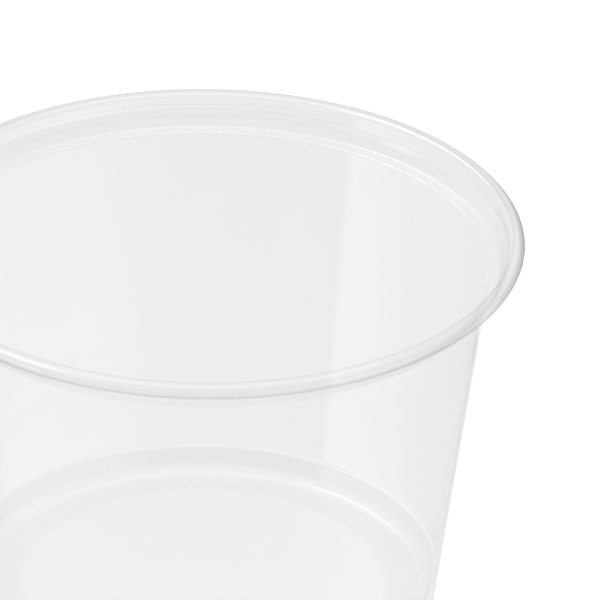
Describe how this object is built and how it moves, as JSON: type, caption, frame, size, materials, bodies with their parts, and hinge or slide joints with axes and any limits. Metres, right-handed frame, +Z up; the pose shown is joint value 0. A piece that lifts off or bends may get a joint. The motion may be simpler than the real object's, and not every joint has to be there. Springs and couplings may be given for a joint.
{
  "type": "plastic deli container",
  "caption": "Clear thin-walled round deli container with a solid round rim, snap neck, stacking ledge, straight tapered wall and raised floor; holds takeaway food.",
  "frame": {"origin": "centre of the standing skirt's foot, on the surface the container stands on", "axes": "+Z up along the axis of the cup, out of its open mouth; the part is round, so X and Y are free"},
  "size_m": [0.1172, 0.1172, 0.078],
  "materials": {
    "clear_plastic": "clear, glossy, faintly hazy"
  },
  "bodies": {
    "root": {"container": "clear_plastic"}
  },
  "joints": []
}
